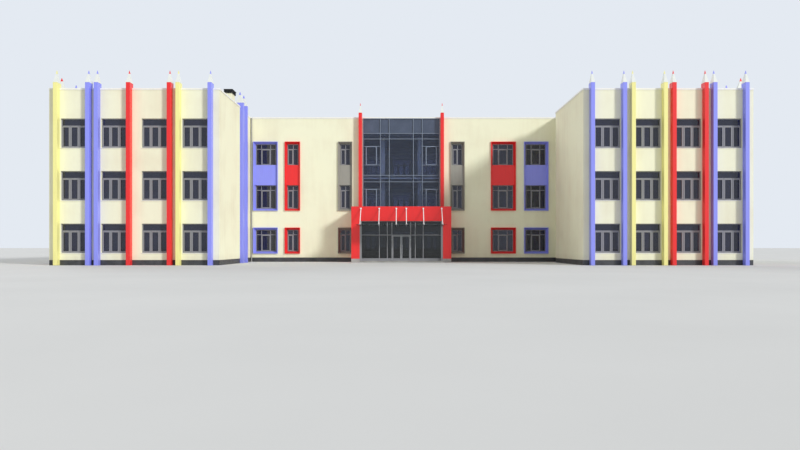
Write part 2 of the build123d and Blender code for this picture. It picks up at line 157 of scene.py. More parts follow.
def paintedRender(name, fresh, washed, splashed, splashHeight):
    # Silicone render, trowelled and painted: dead matt, a sandy grain, faint rain marks and a dusty foot
    made, tree, shader = newFinish(name, {"Roughness": 0.88, "IOR": 1.45, "Specular IOR Level": 0.3})
    spot = addNode(tree, "TexCoord", {}).outputs["Object"]
    streaks = addNode(tree, "Mapping", {"Scale": (1, 1, 0.12)}, {"Vector": spot})
    rain = addNode(tree, "TexNoise", {"Scale": perMetre(420), "Detail": 5, "Roughness": 0.62},
                   {"Vector": streaks.outputs[0]})
    clouds = addNode(tree, "TexNoise", {"Scale": perMetre(2600), "Detail": 3}, {"Vector": spot})
    both = addNode(tree, "Math", {"operation": "MULTIPLY_ADD", 1: 0.5},
                   {0: rain.outputs[0], 2: clouds.outputs[0]})
    tone = addNode(tree, "ValToRGB", {"stops": [(0.68, linear(fresh)), (1.06, linear(washed))]},
                   {0: both.outputs[0]})
    height = addNode(tree, "SeparateXYZ", {}, {0: spot})
    low = addNode(tree, "MapRange", {1: 0.0, 2: splashHeight, 3: 0.75, 4: 0.0}, {0: height.outputs[2]})
    patchy = addNode(tree, "Math", {"operation": "MULTIPLY"}, {0: low.outputs[0], 1: rain.outputs[0]})
    foot = addNode(tree, "Mix", {"data_type": "RGBA", 7: linear(splashed)},
                   {0: patchy.outputs[0], 6: tone.outputs[0]})
    tree.links.new(foot.outputs[2], shader.inputs["Base Color"])
    grain = addNode(tree, "TexNoise", {"Scale": perMetre(24), "Detail": 3, "Roughness": 0.7},
                    {"Vector": spot})  # 2 mm grit, drawn 24 mm wide so that it shows
    wave = addNode(tree, "TexNoise", {"Scale": perMetre(700), "Detail": 2}, {"Vector": spot})
    trowelled = addNode(tree, "Math", {"operation": "MULTIPLY_ADD", 1: 2.5},
                        {0: wave.outputs[0], 2: grain.outputs[0]})
    bump = addNode(tree, "Bump", {"Strength": 0.35, "Distance": real(4)}, {"Height": trowelled.outputs[0]})
    tree.links.new(bump.outputs[0], shader.inputs["Normal"])
    return made


def castConcrete(name, pale, dark):
    # Plain cast concrete: cloudy grey, fine pores, no gloss
    made, tree, shader = newFinish(name, {"Roughness": 0.8, "IOR": 1.5, "Specular IOR Level": 0.4})
    spot = addNode(tree, "TexCoord", {}).outputs["Object"]
    clouds = addNode(tree, "TexNoise", {"Scale": perMetre(900), "Detail": 6, "Roughness": 0.6},
                     {"Vector": spot})
    tone = addNode(tree, "ValToRGB", {"stops": [(0.35, linear(dark)), (0.65, linear(pale))]},
                   {0: clouds.outputs[0]})
    tree.links.new(tone.outputs[0], shader.inputs["Base Color"])
    pores = addNode(tree, "TexVoronoi", {"Scale": perMetre(60)}, {"Vector": spot})  # 5 mm pores, coarser
    bump = addNode(tree, "Bump", {"Strength": 0.3, "Distance": real(3)}, {"Height": pores.outputs[0]})
    tree.links.new(bump.outputs[0], shader.inputs["Normal"])
    return made


def mineralFelt(name, chip, chipDark, lap):
    # Bitumen felt with slate chippings: rough speckled grey, welded laps a metre apart
    made, tree, shader = newFinish(name, {"Roughness": 0.92, "IOR": 1.5, "Specular IOR Level": 0.25})
    spot = addNode(tree, "TexCoord", {}).outputs["Object"]
    chips = addNode(tree, "TexNoise", {"Scale": perMetre(45), "Detail": 2, "Roughness": 0.8},
                    {"Vector": spot})  # 4 mm chips, drawn coarser
    ponding = addNode(tree, "TexNoise", {"Scale": perMetre(3200), "Detail": 4}, {"Vector": spot})
    mixed = addNode(tree, "Math", {"operation": "MULTIPLY_ADD", 1: 0.6},
                    {0: chips.outputs[0], 2: ponding.outputs[0]})
    tone = addNode(tree, "ValToRGB", {"stops": [(0.6, linear(chipDark)), (1.0, linear(chip))]},
                   {0: mixed.outputs[0]})
    laps = addNode(tree, "TexBrick", {
        "offset": 0.5, "Scale": 1.0, "Mortar Size": real(22), "Mortar Smooth": 0.3,
        "Brick Width": real(7500), "Row Height": real(1000), "Mortar": linear(lap)},
        {"Vector": spot, 1: tone.outputs[0], 2: tone.outputs[0]})
    tree.links.new(laps.outputs[0], shader.inputs["Base Color"])
    relief = addNode(tree, "Math", {"operation": "MULTIPLY_ADD", 1: 2.0},
                     {0: laps.outputs[1], 2: chips.outputs[0]})
    bump = addNode(tree, "Bump", {"Strength": 0.5, "Distance": real(5)}, {"Height": relief.outputs[0]})
    tree.links.new(bump.outputs[0], shader.inputs["Normal"])
    return made


def stoneTiles(name, pale, dark, jointColour, tileWide, tileHigh, roughness):
    # Honed granite slabs: speckled crystals, narrow mortar joints, a soft sheen
    made, tree, shader = newFinish(name, {"Roughness": roughness, "IOR": 1.55})
    spot = addNode(tree, "TexCoord", {}).outputs["Object"]
    axes = addNode(tree, "SeparateXYZ", {}, {0: spot})
    along = addNode(tree, "Math", {"operation": "ADD"}, {0: axes.outputs[0], 1: axes.outputs[1]})
    wallSpot = addNode(tree, "CombineXYZ", {}, {0: along.outputs[0], 1: axes.outputs[2]})
    crystals = addNode(tree, "TexVoronoi", {"Scale": perMetre(28)}, {"Vector": spot})  # 6 mm grains, coarser
    clouds = addNode(tree, "TexNoise", {"Scale": perMetre(500), "Detail": 4}, {"Vector": spot})
    mixed = addNode(tree, "Math", {"operation": "MULTIPLY_ADD", 1: 0.5},
                    {0: crystals.outputs[0], 2: clouds.outputs[0]})
    tone = addNode(tree, "ValToRGB", {"stops": [(0.45, linear(dark)), (0.95, linear(pale))]},
                   {0: mixed.outputs[0]})
    tiles = addNode(tree, "TexBrick", {
        "offset": 0.5, "Scale": 1.0, "Mortar Size": real(6), "Mortar Smooth": 0.2,
        "Brick Width": real(tileWide), "Row Height": real(tileHigh), "Mortar": linear(jointColour)},
        {"Vector": wallSpot.outputs[0], 1: tone.outputs[0], 2: tone.outputs[0]})
    tree.links.new(tiles.outputs[0], shader.inputs["Base Color"])
    bump = addNode(tree, "Bump", {"Strength": 0.4, "Distance": real(3), "invert": True},
                   {"Height": tiles.outputs[1]})
    tree.links.new(bump.outputs[0], shader.inputs["Normal"])
    return made


def powderCoat(name, clean, dusty, roughness, coat=0.0, footHeight=0.0):
    # Powder-coated sheet: even colour, a fine orange-peel skin, a veil of dust and rain marks down it
    made, tree, shader = newFinish(name, {"Roughness": roughness, "IOR": 1.5, "Coat Weight": coat,
                                          "Coat Roughness": 0.18})
    spot = addNode(tree, "TexCoord", {}).outputs["Object"]
    streaks = addNode(tree, "Mapping", {"Scale": (1, 1, 0.07)}, {"Vector": spot})
    rain = addNode(tree, "TexNoise", {"Scale": perMetre(160), "Detail": 4, "Roughness": 0.6},
                   {"Vector": streaks.outputs[0]})
    veil = addNode(tree, "ValToRGB", {"stops": [(0.5, (0, 0, 0, 1)), (0.85, (0.55, 0.55, 0.55, 1))]},
                   {0: rain.outputs[0]})
    amount = veil.outputs[0]
    if footHeight:
        height = addNode(tree, "SeparateXYZ", {}, {0: spot})
        low = addNode(tree, "MapRange", {1: 0.0, 2: footHeight, 3: 0.7, 4: 0.0}, {0: height.outputs[2]})
        splash = addNode(tree, "Math", {"operation": "MULTIPLY"}, {0: low.outputs[0], 1: rain.outputs[0]})
        amount = addNode(tree, "Math", {"operation": "ADD", "use_clamp": True},
                         {0: splash.outputs[0], 1: veil.outputs[0]}).outputs[0]
    tone = addNode(tree, "Mix", {"data_type": "RGBA", 6: linear(clean), 7: linear(dusty)}, {0: amount})
    tree.links.new(tone.outputs[2], shader.inputs["Base Color"])
    gloss = addNode(tree, "MapRange", {1: 0.3, 2: 0.8, 3: roughness - 0.05, 4: roughness + 0.1},
                    {0: rain.outputs[0]})
    tree.links.new(gloss.outputs[0], shader.inputs["Roughness"])
    peel = addNode(tree, "TexNoise", {"Scale": perMetre(18), "Detail": 2},
                   {"Vector": spot})  # 2 mm peel, drawn coarser
    bump = addNode(tree, "Bump", {"Strength": 0.12, "Distance": real(1.5)}, {"Height": peel.outputs[0]})
    tree.links.new(bump.outputs[0], shader.inputs["Normal"])
    return made


def glazing(name, tint, smear, transmission, roughness, solid=1.0):
    # Float glass, coated or tinted: mirror-smooth, with a faint roller wave and a thin film of dirt
    made, tree, shader = newFinish(name, {"Roughness": roughness, "IOR": 1.52, "Alpha": solid,
                                          "Transmission Weight": transmission})
    spot = addNode(tree, "TexCoord", {}).outputs["Object"]
    dirt = addNode(tree, "TexNoise", {"Scale": perMetre(900), "Detail": 5, "Roughness": 0.65},
                   {"Vector": spot})
    tone = addNode(tree, "ValToRGB", {"stops": [(0.4, linear(tint)), (0.8, linear(smear))]},
                   {0: dirt.outputs[0]})
    tree.links.new(tone.outputs[0], shader.inputs["Base Color"])
    roller = addNode(tree, "TexNoise", {"Scale": perMetre(1100), "Detail": 1}, {"Vector": spot})
    bump = addNode(tree, "Bump", {"Strength": 0.06, "Distance": real(6)}, {"Height": roller.outputs[0]})
    tree.links.new(bump.outputs[0], shader.inputs["Normal"])
    return made


def satinSteel(name, colour):
    # Stainless steel, brushed along its length: fine lines and a stretched highlight
    made, tree, shader = newFinish(name, {"Metallic": 1.0, "Roughness": 0.32, "Base Color": linear(colour)})
    spot = addNode(tree, "TexCoord", {}).outputs["Object"]
    drawn = addNode(tree, "Mapping", {"Scale": (1, 1, 0.04)}, {"Vector": spot})
    lines = addNode(tree, "TexNoise", {"Scale": perMetre(8), "Detail": 2}, {"Vector": drawn.outputs[0]})
    gloss = addNode(tree, "MapRange", {1: 0.3, 2: 0.7, 3: 0.24, 4: 0.42}, {0: lines.outputs[0]})
    tree.links.new(gloss.outputs[0], shader.inputs["Roughness"])
    bump = addNode(tree, "Bump", {"Strength": 0.15, "Distance": real(0.6)}, {"Height": lines.outputs[0]})
    tree.links.new(bump.outputs[0], shader.inputs["Normal"])
    return made


def sealRubber(name, clean, dusty):
    # EPDM rubber seal, extruded: black, dull, slightly dusty
    made, tree, shader = newFinish(name, {"Roughness": 0.7, "IOR": 1.5, "Specular IOR Level": 0.35})
    spot = addNode(tree, "TexCoord", {}).outputs["Object"]
    dust = addNode(tree, "TexNoise", {"Scale": perMetre(120), "Detail": 4}, {"Vector": spot})
    tone = addNode(tree, "ValToRGB", {"stops": [(0.4, linear(clean)), (0.9, linear(dusty))]},
                   {0: dust.outputs[0]})
    tree.links.new(tone.outputs[0], shader.inputs["Base Color"])
    return made


finish = {
    "cream_render": paintedRender("creamRender", "F8F7DA", "F0ECCF", "C4BEAA", 0.4),
    "porch_render": paintedRender("redRender", "EA2C2C", "D42D2C", "9C5A52", 0.4),
    "concrete": castConcrete("castConcrete", "A9A7A2", "8D8B87"),
    "roofing": mineralFelt("mineralFelt", "85878A", "696B6E", "4A4B4D"),
    "plinth_stone": stoneTiles("darkGranite", "4A4B4E", "2B2C2F", "1C1C1D", 900, 360, 0.45),
    "base_stone": stoneTiles("paleGranite", "B4B0AC", "8F8B88", "6E6B68", 760, 300, 0.5),
    "coping_metal": powderCoat("offWhiteCoat", "F9F8EF", "E7E5DB", 0.42),
    "blue_paint": powderCoat("lavenderCoat", "9399FA", "858AE0", 0.38, 0.15, 0.5),
    "red_paint": powderCoat("signalRedCoat", "F3292A", "D93233", 0.36, 0.15, 0.5),
    "yellow_paint": powderCoat("paleYellowCoat", "FBF59E", "E3DB8E", 0.4, 0.15, 0.5),
    "grey_paint": powderCoat("warmGreyCoat", "9D9A91", "8A877F", 0.42),
    "tip_white": powderCoat("tipWhiteCoat", "ECEFE9", "D3D8CF", 0.4),
    "frame_aluminium": powderCoat("paleGreyAluminium", "8D8D91", "7A7A7E", 0.4),
    "window_glass": glazing("darkGlazing", "464B66", "4F5470", 0.72, 0.02),
    "spandrel_glass": glazing("spandrelGlazing", "475165", "566076", 0.0, 0.06),
    "canopy_glass": glazing("canopyGlazing", "DDEDE8", "CADBD6", 0.97, 0.03),
    "stainless": satinSteel("satinSteel", "C2C3C6"),
    "rod_paint": powderCoat("glossWhiteCoat", "F0F0F0", "DADAD8", 0.25, 0.4),
    "dark_metal": powderCoat("darkHoodCoat", "2A2C2F", "45474A", 0.5),
    "pipe_metal": powderCoat("pipeGreyCoat", "9A9994", "84837E", 0.42),
}
hallGlazing = glazing("hallGlazing", "7C90BE", "8698C2", 0.95, 0.015, 0.68)  # daylight reaches the columns
entranceGlazing = glazing("entranceGlazing", "565E66", "626A72", 0.95, 0.015)
rubber = sealRubber("sealRubber", "141414", "4A4A4A")
# Curtain-wall aluminium: the window frames' grey, made darker and bluer as painted shade, as if lit only by
# skylight
shadedHallAluminium = powderCoat("shadedHallAluminium", "7F8B9E", "727D8E", 0.38)
# Pale concrete for the hall columns and the closing strip: partly their own pale paint, partly painted
# light, made paler so that they show bright behind the glass as if sunlit
paintedLightConcrete = castConcrete("paintedLightConcrete", "E8E6E1", "D6D4CF")
ownFinish = {  # nodes that look different from the others in their slot
    "curtain_glass": hallGlazing, "curtain_frame": shadedHallAluminium, "hall_columns": paintedLightConcrete,
    "entrance_glass": entranceGlazing, "door_glass_left": entranceGlazing,
    "door_glass_right": entranceGlazing,
}

softEdges = {  # nodes whose sharp edges are rounded over, with the radius in real mm
    "portal_lintel": 8, "portal_legs": 8, "portal_bases": 10, "surrounds_blue": 5, "surrounds_red": 5,
    "surrounds_grey": 5, "pencil_barrels_blue": 14, "pencil_barrels_red": 14, "pencil_barrels_yellow": 14,
    "pencil_tips": 8, "vent_hood": 8, "vent_stack": 10, "hall_columns": 12, "plinth": 6,
    "door_leaf_left": 3, "door_leaf_right": 3, "entrance_sidelights": 3, "entrance_transom": 3,
    "curtain_frame": 4, "canopy_arms": 3, "canopy_glass": 4,
}
rounding = {
    "weld": 0.00002,        # metres between corners that are joined
    "steps": 2,
    "fromAngle": 25,        # degrees
    "sharpFrom": 35,        # edges of turned pieces that stay sharp
}
for part in frame["record"]["subparts"]:
    node = nodes[part["node"]]
    node.data.materials.clear()
    node.data.materials.append(ownFinish.get(part["node"], finish[part["material_slot"]]))
for name, radius in softEdges.items():
    weld = nodes[name].modifiers.new("oneSkin", "WELD")
    weld.merge_threshold = rounding["weld"]
    bevel = nodes[name].modifiers.new("softEdge", "BEVEL")
    bevel.width, bevel.segments, bevel.limit_method = real(radius), rounding["steps"], "ANGLE"
    bevel.angle_limit = math.radians(rounding["fromAngle"])
    bevel.use_clamp_overlap = True
print("finishes are on", len(nodes), "nodes")


def addBlock(mesh, place, low, high, chamfer):
    # a block between two corners, every edge cut back
    corners = {}
    for ends in [(a, b, c) for a in (0, 1) for b in (0, 1) for c in (0, 1)]:
        for flat in range(3):
            point = [0, 0, 0]
            for axis in range(3):
                edge = (low[axis], high[axis])[ends[axis]]
                point[axis] = edge if axis == flat else edge + chamfer * (1 - 2 * ends[axis])
            corners[ends, flat] = mesh.verts.new(place @ Vector(point))
        mesh.faces.new([corners[ends, flat] for flat in range(3)])
    for axis in range(3):
        one, other = [n for n in range(3) if n != axis]
        for end in (0, 1):
            face = []
            for a, b in ((0, 0), (1, 0), (1, 1), (0, 1)):
                key = [0, 0, 0]
                key[axis], key[one], key[other] = end, a, b
                face.append(corners[tuple(key), axis])
            mesh.faces.new(face)
        for a, b in ((0, 0), (1, 0), (1, 1), (0, 1)):
            key = [0, 0, 0]
            key[one], key[other] = a, b
            near, far = tuple(key), tuple(1 if n == axis else key[n] for n in range(3))
            mesh.faces.new([corners[near, one], corners[far, one],
                            corners[far, other], corners[near, other]])


def insetCorner(outline, n, inset):
    # a corner of an outline of right angles, moved in from both of its sides
    before, here, after = (Vector(outline[k % len(outline)]) for k in (n - 1, n, n + 1))
    one, two = (here - before).normalized(), (after - here).normalized()
    return here + Vector((-one[1] - two[1], one[0] + two[0])) * inset


def addLoop(mesh, place, outline, profile):
    # a closed run along an outline of right angles; profile points are (distance inside it, depth)
    rings = []
    for n in range(len(outline)):
        rings.append([mesh.verts.new(place @ Vector((*insetCorner(outline, n, inset), depth)))
                      for inset, depth in profile])
    for n, ring in enumerate(rings):
        following = rings[(n + 1) % len(rings)]
        for k in range(len(profile)):
            j = (k + 1) % len(profile)
            mesh.faces.new([ring[k], following[k], following[j], ring[j]])


def addRun(mesh, place, outline, start, end):
    # a straight length of one section; outline points are (out, up), the run is along the first axis
    ends = [[mesh.verts.new(place @ Vector((along, out, up))) for out, up in outline]
            for along in (start, end)]
    for k in range(len(outline)):
        j = (k + 1) % len(outline)
        mesh.faces.new([ends[0][k], ends[1][k], ends[1][j], ends[0][j]])
    mesh.faces.new(ends[0])
    mesh.faces.new(list(reversed(ends[1])))


def addTurned(mesh, place, profile, sides):
    # a turned piece about the third axis; profile points are (radius, height), closed at both ends
    rings = []
    for radius, height in profile:
        rings.append([mesh.verts.new(place @ Vector((radius * math.cos(math.tau * k / sides),
                                                     radius * math.sin(math.tau * k / sides), height)))
                      for k in range(sides)])
    for lower, upper in zip(rings, rings[1:]):
        for k in range(sides):
            j = (k + 1) % sides
            mesh.faces.new([lower[k], lower[j], upper[j], upper[k]])
    mesh.faces.new(list(reversed(rings[0])))
    mesh.faces.new(rings[-1])


def turnedOutline(radius, points):
    # points are (share of the radius, height in real mm)
    return [(radius * share, real(height)) for share, height in points]


def addPiece(name, mesh, body, material, smooth=False):
    # the finished mesh as an object that rides on a body
    bmesh.ops.recalc_face_normals(mesh, faces=mesh.faces)
    data = bpy.data.meshes.new(name)
    mesh.to_mesh(data)
    mesh.free()
    piece = bpy.data.objects.new(name, data)
    scene.collection.objects.link(piece)
    data.materials.append(material)
    if smooth:
        data.shade_smooth()
        data.set_sharp_from_angle(angle=math.radians(rounding["sharpFrom"]))
    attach(piece, body)


def facing(out):
    # axes of a wall that looks this way: along it, out of it, up
    along = Vector((-out[1], out[0], 0))
    return Matrix((along, out, (0, 0, 1))).transposed().to_4x4()


def solidsOf(node):
    # the two corners of every separate solid of a node
    skin = bmesh.new()
    skin.from_mesh(nodes[node].data)
    bmesh.ops.remove_doubles(skin, verts=skin.verts, dist=rounding["weld"])
    boxes, left = [], set(skin.verts)
    while left:
        island, todo = [], [left.pop()]
        while todo:
            vert = todo.pop()
            island.append(vert.co.copy())
            for edge in vert.link_edges:
                other = edge.other_vert(vert)
                if other in left:
                    left.remove(other)
                    todo.append(other)
        boxes.append((Vector(map(min, zip(*island))), Vector(map(max, zip(*island)))))
    skin.free()
    return sorted(boxes, key=lambda box: (*box[0], *box[1]))


def panesOf(node):
    # every pane of a glass node: its wall's axes, its span along the wall, its rise and its outer face
    found = []
    for low, high in solidsOf(node):
        size, middle = high - low, (low + high) / 2
        if size[0] < size[1]:
            out = Vector((math.copysign(1, middle[0]), 0, 0))
        else:
            out = Vector((0, math.copysign(1, middle[1]), 0))
        wall = facing(out)
        ends = sorted(point @ wall.col[0].to_3d() for point in (low, high))
        face = max(point @ out for point in (low, high))
        found.append({"wall": wall, "span": ends, "rise": (low[2], high[2]), "face": face, "out": out})
    return sorted(found, key=lambda pane: (*pane["out"], pane["rise"][0], pane["span"][0]))


def onWall(pane):
    # the pane's wall, with the third axis out of it instead of up, for loops that lie in the wall
    wall = pane["wall"].to_3x3()
    return Matrix((wall.col[0], wall.col[2], wall.col[1])).transposed().to_4x4()


def frameRing(mesh, pane, span, rise, width, back, front, chamfer):
    # a mitred frame in the wall, of bars this wide
    outline = [(span[0], rise[0]), (span[1], rise[0]), (span[1], rise[1]), (span[0], rise[1])]
    profile = [(0, back), (0, front - chamfer), (chamfer, front), (width - chamfer, front),
               (width, front - chamfer), (width, back)]
    addLoop(mesh, onWall(pane), outline, profile)


# Frames of the windows in the cream walls: fixed frame, transom, two mullions and three sashes
windowFrame = {
    "frame": real(64),
    "bar": real(66),
    "sash": real(82),
    "transomDrop": real(500),   # head of the window to the middle of the transom
    "mullions": (1 / 3, 2 / 3),
    "behind": real(44),
    "proud": real(30),
    "sashProud": real(48),
    "sashStep": real(10),       # back of the frame to the back of the sashes
    "reveal": 0.6,              # share of half a bar that the sashes leave clear
    "footReveal": 0.4,
    "chamfer": real(8),
}
glassSeal = {"overlap": real(6), "wide": real(12), "under": real(4), "proud": real(14), "chamfer": real(2)}


def dressWindow(mesh, seals, pane, sizes):
    span, rise, glass = pane["span"], pane["rise"], pane["face"]
    back, front, sashFront = glass - sizes["behind"], glass + sizes["proud"], glass + sizes["sashProud"]
    edge, bar, sash = sizes["frame"], sizes["bar"] / 2, sizes["sash"]
    frameRing(mesh, pane, span, rise, edge, back, front, sizes["chamfer"])
    transom = rise[1] - sizes["transomDrop"]
    addBlock(mesh, pane["wall"], (span[0] + edge / 2, back, transom - bar),
             (span[1] - edge / 2, front, transom + bar), sizes["chamfer"])
    stops = [span[0] + edge - bar]
    for share in sizes["mullions"]:
        middle = span[0] + (span[1] - span[0]) * share
        head = rise[1] - edge / 2 if sizes.get("throughTop") else transom
        addBlock(mesh, pane["wall"], (middle - bar, back, rise[0] + edge / 2), (middle + bar, front, head),
                 sizes["chamfer"])
        stops.append(middle)
    stops.append(span[1] - edge + bar)
    for number, (start, end) in enumerate(zip(stops, stops[1:])):
        if number in sizes.get("fixedLights", ()):
            continue
        light = (start + bar * sizes["reveal"], end - bar * sizes["reveal"])
        level = (rise[0] + edge - bar * sizes["footReveal"], transom - bar * sizes["reveal"])
        frameRing(mesh, pane, light, level, sash, back + sizes["sashStep"], sashFront, sizes["chamfer"])
        inner = sash - glassSeal["overlap"]
        frameRing(seals, pane, (light[0] + inner, light[1] - inner), (level[0] + inner, level[1] - inner),
                  glassSeal["wide"], glass - glassSeal["under"], glass + glassSeal["proud"],
                  glassSeal["chamfer"])


windowSill = {
    "reach": real(38),      # past the wall's face
    "lip": real(30),
    "sheet": real(7),
    "fall": real(22),
    "start": real(20),      # out from the glass
    "seat": real(1),
    "endGap": real(2),
}


def addSill(mesh, pane, wallFace):
    # a folded sheet sill that sheds water past the wall's face
    foot, start = pane["rise"][0], pane["face"] + windowSill["start"]
    sheet, tip, gap = windowSill["sheet"], wallFace + windowSill["reach"], windowSill["endGap"]
    outline = [(start, foot - windowSill["seat"]), (start, foot + windowSill["fall"]), (tip, foot + sheet),
               (tip, foot - windowSill["lip"]), (tip - sheet, foot - windowSill["lip"]), (tip - sheet, foot)]
    addRun(mesh, pane["wall"], outline, pane["span"][0] + gap, pane["span"][1] - gap)


wallSides = {"Front": Vector((0, -1, 0)), "Left": Vector((-1, 0, 0)), "Right": Vector((1, 0, 0)),
             "Rear": Vector((0, 1, 0))}
outerFace = {"Front": -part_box("front_walls")[0][1], "Left": -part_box("outer_walls")[0][0],
             "Right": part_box("outer_walls")[1][0], "Rear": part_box("rear_wall")[1][1]}
wingPanes = panesOf("window_glass")
for side, out in wallSides.items():
    frames, seals, sills = bmesh.new(), bmesh.new(), bmesh.new()
    for pane in wingPanes:
        if pane["out"] == out:
            dressWindow(frames, seals, pane, windowFrame)
            addSill(sills, pane, outerFace[side])
    addPiece("windowFrames" + side, frames, "building", finish["frame_aluminium"])
    addPiece("windowSeals" + side, seals, "building", rubber)
    addPiece("windowSills" + side, sills, "building", finish["coping_metal"])
print("window frames, seals and sills are in", len(wingPanes), "openings")

# Frames of the court windows, in the coloured surrounds
courtFrame = dict(windowFrame, frame=real(56), bar=real(58), sash=real(70), transomDrop=real(420),
                  throughTop=True, behind=real(36))
threeLights = dict(courtFrame, mullions=(0.27, 0.72), fixedLights=(0, 2))
twoLights = dict(courtFrame, mullions=(0.53,), fixedLights=(1,))
threeLightWidth = 0.7  # narrower windows have two lights
frames, seals = bmesh.new(), bmesh.new()
courtPanes = panesOf("court_glass")
for pane in courtPanes:
    wide = pane["span"][1] - pane["span"][0] > threeLightWidth
    dressWindow(frames, seals, pane, threeLights if wide else twoLights)
addPiece("courtWindowFrames", frames, "building", finish["frame_aluminium"])
addPiece("courtWindowSeals", seals, "building", rubber)
print("court windows are framed:", len(courtPanes))

# Curtain wall over the entrance: cover caps on its bars, and opening sashes in the outer bays
curtainTrim = {
    "capWide": real(46),
    "capProud": real(16),
    "capSeat": real(4),         # how far the caps reach into the bars
    "railStep": real(4),        # the rails' caps lie this much behind the mullions'
    "mullions": (-0.88, -0.505, 0.505, 0.88),  # metres from the middle
    "rails": (3.35, 3.62, 5.15, 5.385),        # metres over the ground
    "sashBay": (0.865, 1.6),    # ends of the bars over and under a sash, from the middle
    "sashSpan": (1.035, 1.48),
    "sashRises": ((2.265, 3.045), (4.055, 4.84)),
    "sashBar": real(44),
    "sashReveal": 0.6,          # share of half a cap that a sash leaves clear
    "sashBehind": real(30),
    "sashStep": real(6),        # bars round a sash, behind the caps' front
    "barBehind": real(40),
    "footGap": real(60),        # a sash this near the foot has no bar under it
    "chamfer": real(5),
}
barLow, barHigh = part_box("curtain_frame")
courtWall = facing(Vector((0, -1, 0)))
caps, sashes = bmesh.new(), bmesh.new()
barFace = -barLow[1]
capHalf = curtainTrim["capWide"] / 2
capBack, capFront = barFace - curtainTrim["capSeat"], barFace + curtainTrim["capProud"]
for middle in curtainTrim["mullions"] + (barLow[0] + capHalf, barHigh[0] - capHalf):
    addBlock(caps, courtWall, (middle - capHalf, capBack, barLow[2]),
             (middle + capHalf, capFront, barHigh[2]), curtainTrim["chamfer"])
for level in curtainTrim["rails"] + (barLow[2] + capHalf, barHigh[2] - capHalf):
    addBlock(caps, courtWall, (barLow[0], capBack, level - capHalf),
             (barHigh[0], capFront - curtainTrim["railStep"], level + capHalf), curtainTrim["chamfer"])
paneFace = -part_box("curtain_glass")[0][1]
sashBack, sashFront = paneFace - curtainTrim["barBehind"], capFront - curtainTrim["sashStep"]
reveal = capHalf * curtainTrim["sashReveal"]
for side in (-1, 1):
    bay = sorted(side * place for place in curtainTrim["sashBay"])
    span = sorted(side * place for place in curtainTrim["sashSpan"])
    for rise in curtainTrim["sashRises"]:
        for level in rise:
            if level > barLow[2] + curtainTrim["footGap"]:
                addBlock(sashes, courtWall, (bay[0], sashBack, level - capHalf),
                         (bay[1], sashFront, level + capHalf), curtainTrim["chamfer"])
        for place in span:
            addBlock(sashes, courtWall, (place - capHalf, sashBack, rise[0]),
                     (place + capHalf, sashFront, rise[1]), curtainTrim["chamfer"])
        frameRing(sashes, {"wall": courtWall}, (span[0] + reveal, span[1] - reveal),
                  (rise[0] + reveal, rise[1] - reveal), curtainTrim["sashBar"],
                  paneFace - curtainTrim["sashBehind"], capFront, curtainTrim["chamfer"])
addPiece("curtainCaps", caps, "building", shadedHallAluminium)

# Closing strip behind the curtain wall's glass, along the underside of the second floor
closing = {"level": 3.5, "high": real(70), "thick": real(24), "gap": real(8), "chamfer": real(3)}
stripFront = -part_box("curtain_glass")[1][1] - closing["gap"]
strip = bmesh.new()
addBlock(strip, courtWall,
         (barLow[0] + capHalf, stripFront - closing["thick"], closing["level"] - closing["high"] / 2),
         (barHigh[0] - capHalf, stripFront, closing["level"] + closing["high"] / 2), closing["chamfer"])
addPiece("closingStrip", strip, "building", paintedLightConcrete)

gasket = {"wide": real(16), "under": real(4), "proud": real(10), "chamfer": real(3)}


def sealPanes(mesh, node):
    # a rubber gasket along the edge of every pane, on the side that looks out
    for pane in panesOf(node):
        frameRing(mesh, pane, pane["span"], pane["rise"], gasket["wide"], pane["face"] - gasket["under"],
                  pane["face"] + gasket["proud"], gasket["chamfer"])


seals = bmesh.new()
for glassNode in ("curtain_glass", "curtain_spandrels", "entrance_glass"):
    sealPanes(seals, glassNode)
addPiece("screenSeals", seals, "building", rubber)
addPiece("curtainSashes", sashes, "building", shadedHallAluminium)
print("curtain wall is trimmed")

# Entrance doors: gaskets, lock cylinders and flush bolts, a threshold under them
doorTrim = {
    "lockInset": real(46),      # from the middle of the doorway
    "lockHeight": real(1020),
    "rose": real(27),
    "roseOutline": ((1, -2), (1, 5), (0.85, 9), (0.4, 9), (0.38, 13), (0.3, 15)),
    "roseSides": 20,
    "boltHeight": real(420),
    "boltPlate": (real(9), real(90)),
    "boltSeat": real(2),
    "boltProud": real(3),
    "chamfer": real(1),
}
screenFace = -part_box("entrance_transom")[0][1]
for side, name in ((-1, "Left"), (1, "Right")):
    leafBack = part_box("door_leaf_" + name.lower())[1][1]
    seals = bmesh.new()
    sealPanes(seals, "door_glass_" + name.lower())
    addPiece("doorSeals" + name, seals, "door_" + name.lower(), rubber)
    metal = bmesh.new()
    lockLine = side * doorTrim["lockInset"]
    for out, face in ((-1, screenFace), (1, -leafBack)):
        turn = Matrix.Translation((lockLine, -face, doorTrim["lockHeight"])) @ Matrix.Rotation(
            math.radians(90 * -out), 4, "X")
        addTurned(metal, turn, turnedOutline(doorTrim["rose"], doorTrim["roseOutline"]),
                  doorTrim["roseSides"])
    wide, tall = doorTrim["boltPlate"]
    addBlock(metal, courtWall,
             (lockLine - wide, screenFace - doorTrim["boltSeat"], doorTrim["boltHeight"] - tall),
             (lockLine + wide, screenFace + doorTrim["boltProud"], doorTrim["boltHeight"] + tall),
             doorTrim["chamfer"])
    addPiece("doorLock" + name, metal, "door_" + name.lower(), finish["stainless"], smooth=True)

